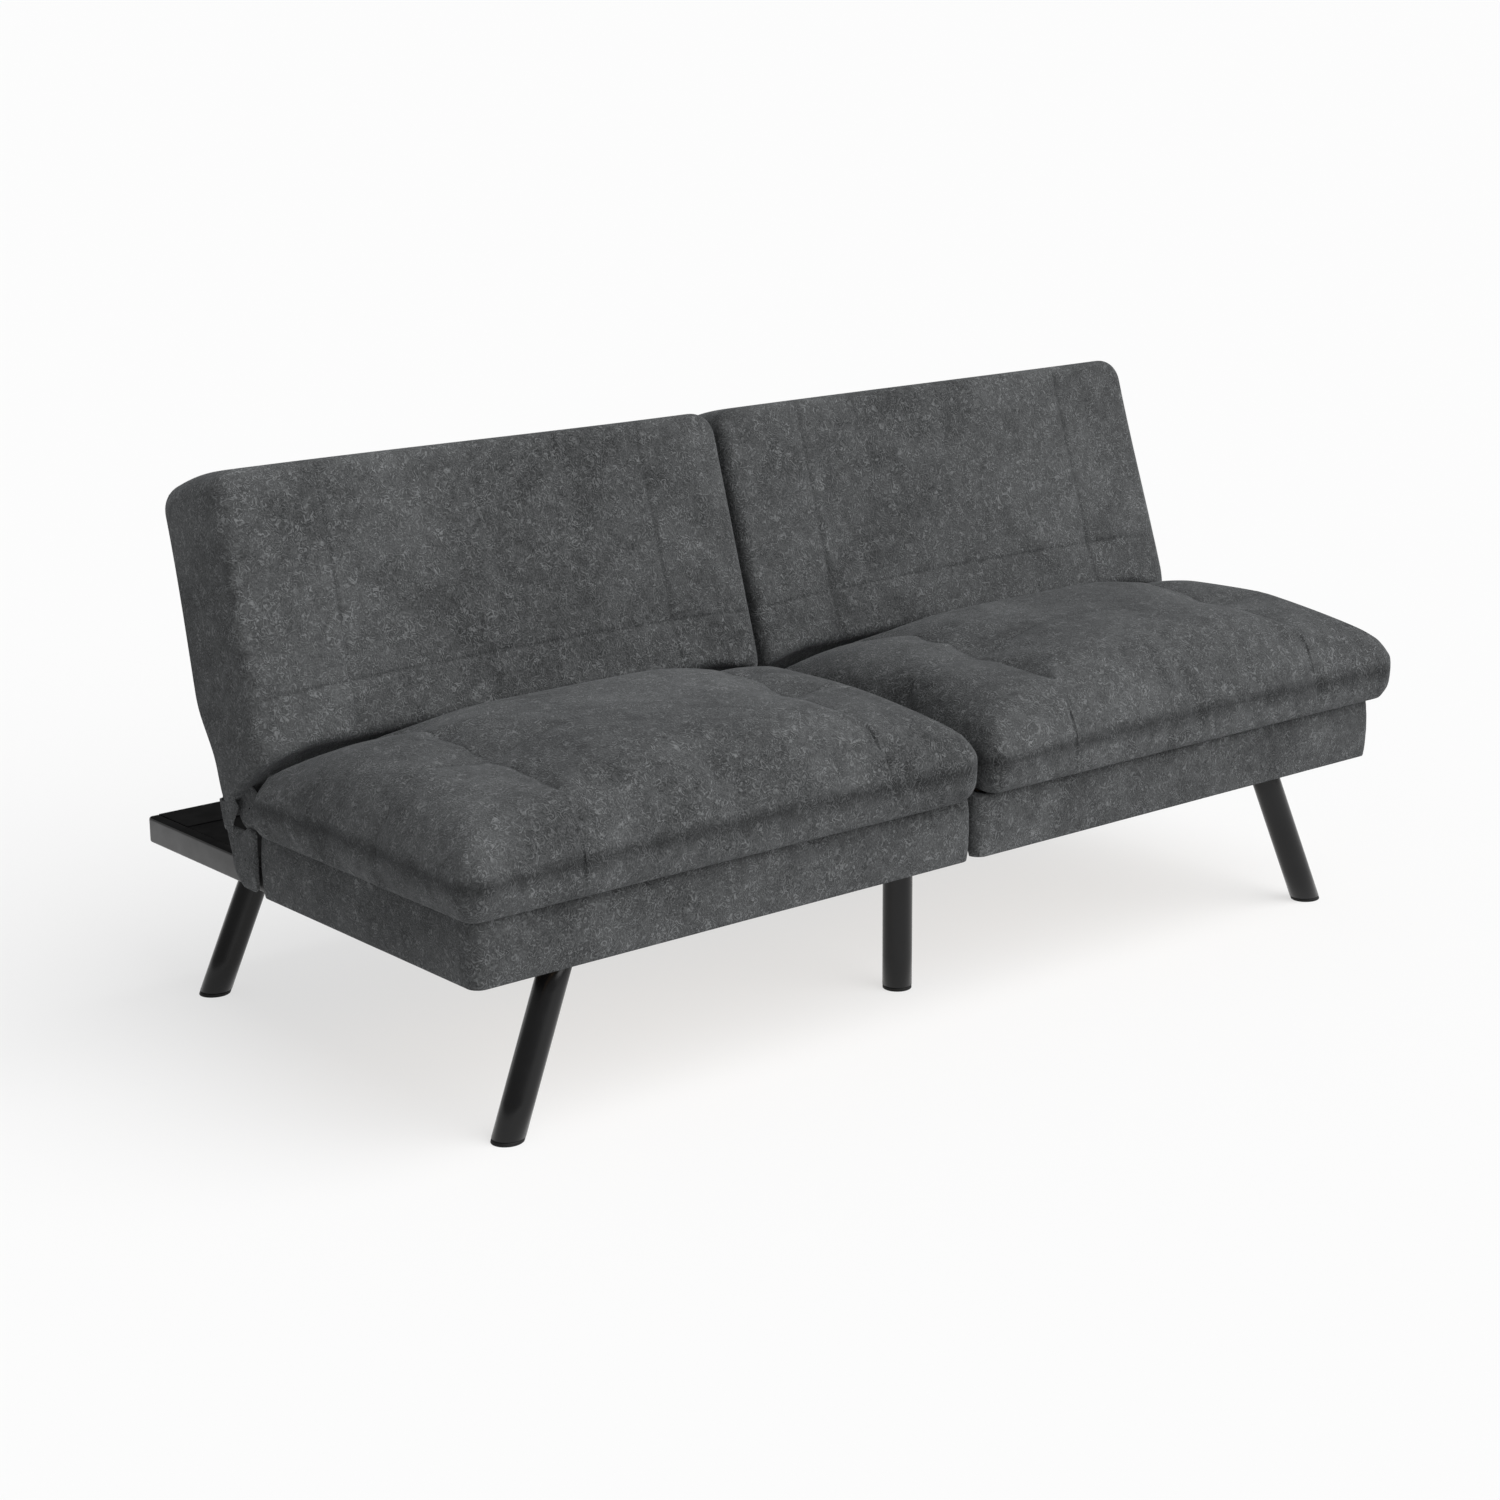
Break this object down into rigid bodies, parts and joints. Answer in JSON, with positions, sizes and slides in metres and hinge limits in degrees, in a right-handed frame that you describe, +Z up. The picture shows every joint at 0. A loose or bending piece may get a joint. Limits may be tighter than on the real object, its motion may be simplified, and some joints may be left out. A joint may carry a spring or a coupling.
{
  "type": "futon sofa bed",
  "caption": "Armless upholstered sofa bed: pillow-padded seats on a timber base with round splayed legs, and backs that fold down flat over a rear shelf.",
  "frame": {"origin": "on the floor, under the middle of the whole sofa with its backs up", "axes": "+X to the sitter's left as seen from behind, which is the viewer's right from the front; +Y towards the backs; +Z up"},
  "size_m": [1.72, 0.845, 0.7561],
  "materials": {
    "charcoal_fabric": "brushed chenille, matte",
    "black_painted_timber": "satin black paint",
    "black_board": "matte black",
    "black_powder_coat": "satin black powder coat",
    "black_plastic": "matte",
    "pine": "sawn, unfinished",
    "birch_plywood": "sanded, unfinished",
    "zinc_plated_steel": "bright zinc"
  },
  "bodies": {
    "base": {"side_rail_left": "black_painted_timber", "side_rail_right": "black_painted_timber", "front_rail": "black_painted_timber", "hinge_rail": "black_painted_timber", "rear_rail": "black_painted_timber", "centre_rail": "black_painted_timber", "shelf_panel": "black_board", "leg_front_left": "black_powder_coat", "leg_plate_front_left": "black_powder_coat", "leg_glide_front_left": "black_plastic", "leg_front_right": "black_powder_coat", "leg_plate_front_right": "black_powder_coat", "leg_glide_front_right": "black_plastic", "leg_rear_left": "black_powder_coat", "leg_plate_rear_left": "black_powder_coat", "leg_glide_rear_left": "black_plastic", "leg_rear_right": "black_powder_coat", "leg_plate_rear_right": "black_powder_coat", "leg_glide_rear_right": "black_plastic", "leg_centre": "black_powder_coat", "leg_plate_centre": "black_powder_coat", "leg_glide_centre": "black_plastic", "seat_front_board_left": "pine", "seat_rear_board_left": "pine", "seat_outer_board_left": "pine", "seat_inner_board_left": "pine", "seat_deck_left": "birch_plywood", "seat_cover_left": "charcoal_fabric", "seat_pad_left": "charcoal_fabric", "hinge_bracket_inner_left": "zinc_plated_steel", "hinge_bracket_outer_left": "zinc_plated_steel", "hinge_flap_left": "charcoal_fabric", "seat_front_board_right": "pine", "seat_rear_board_right": "pine", "seat_outer_board_right": "pine", "seat_inner_board_right": "pine", "seat_deck_right": "birch_plywood", "seat_cover_right": "charcoal_fabric", "seat_pad_right": "charcoal_fabric", "hinge_bracket_inner_right": "zinc_plated_steel", "hinge_bracket_outer_right": "zinc_plated_steel", "hinge_flap_right": "charcoal_fabric"},
    "back_left": {"back_top_rail_left": "pine", "back_bottom_rail_left": "pine", "back_inner_stile_left": "pine", "back_outer_stile_left": "pine", "back_cover_left": "charcoal_fabric", "back_pad_left": "charcoal_fabric", "hinge_arm_inner_left": "zinc_plated_steel", "hinge_arm_outer_left": "zinc_plated_steel", "hinge_shaft_left": "zinc_plated_steel"},
    "back_right": {"back_top_rail_right": "pine", "back_bottom_rail_right": "pine", "back_inner_stile_right": "pine", "back_outer_stile_right": "pine", "back_cover_right": "charcoal_fabric", "back_pad_right": "charcoal_fabric", "hinge_arm_inner_right": "zinc_plated_steel", "hinge_arm_outer_right": "zinc_plated_steel", "hinge_shaft_right": "zinc_plated_steel"}
  },
  "joints": [
    {"name": "recline_left", "type": "hinge", "parent": "base", "child": "back_left", "pos_m": [0, 0.1225, 0.345], "axis": [-1, 0, 0], "range_deg": [-6, 73]},
    {"name": "recline_right", "type": "hinge", "parent": "base", "child": "back_right", "pos_m": [0, 0.1225, 0.345], "axis": [-1, 0, 0], "range_deg": [-6, 73]}
  ]
}
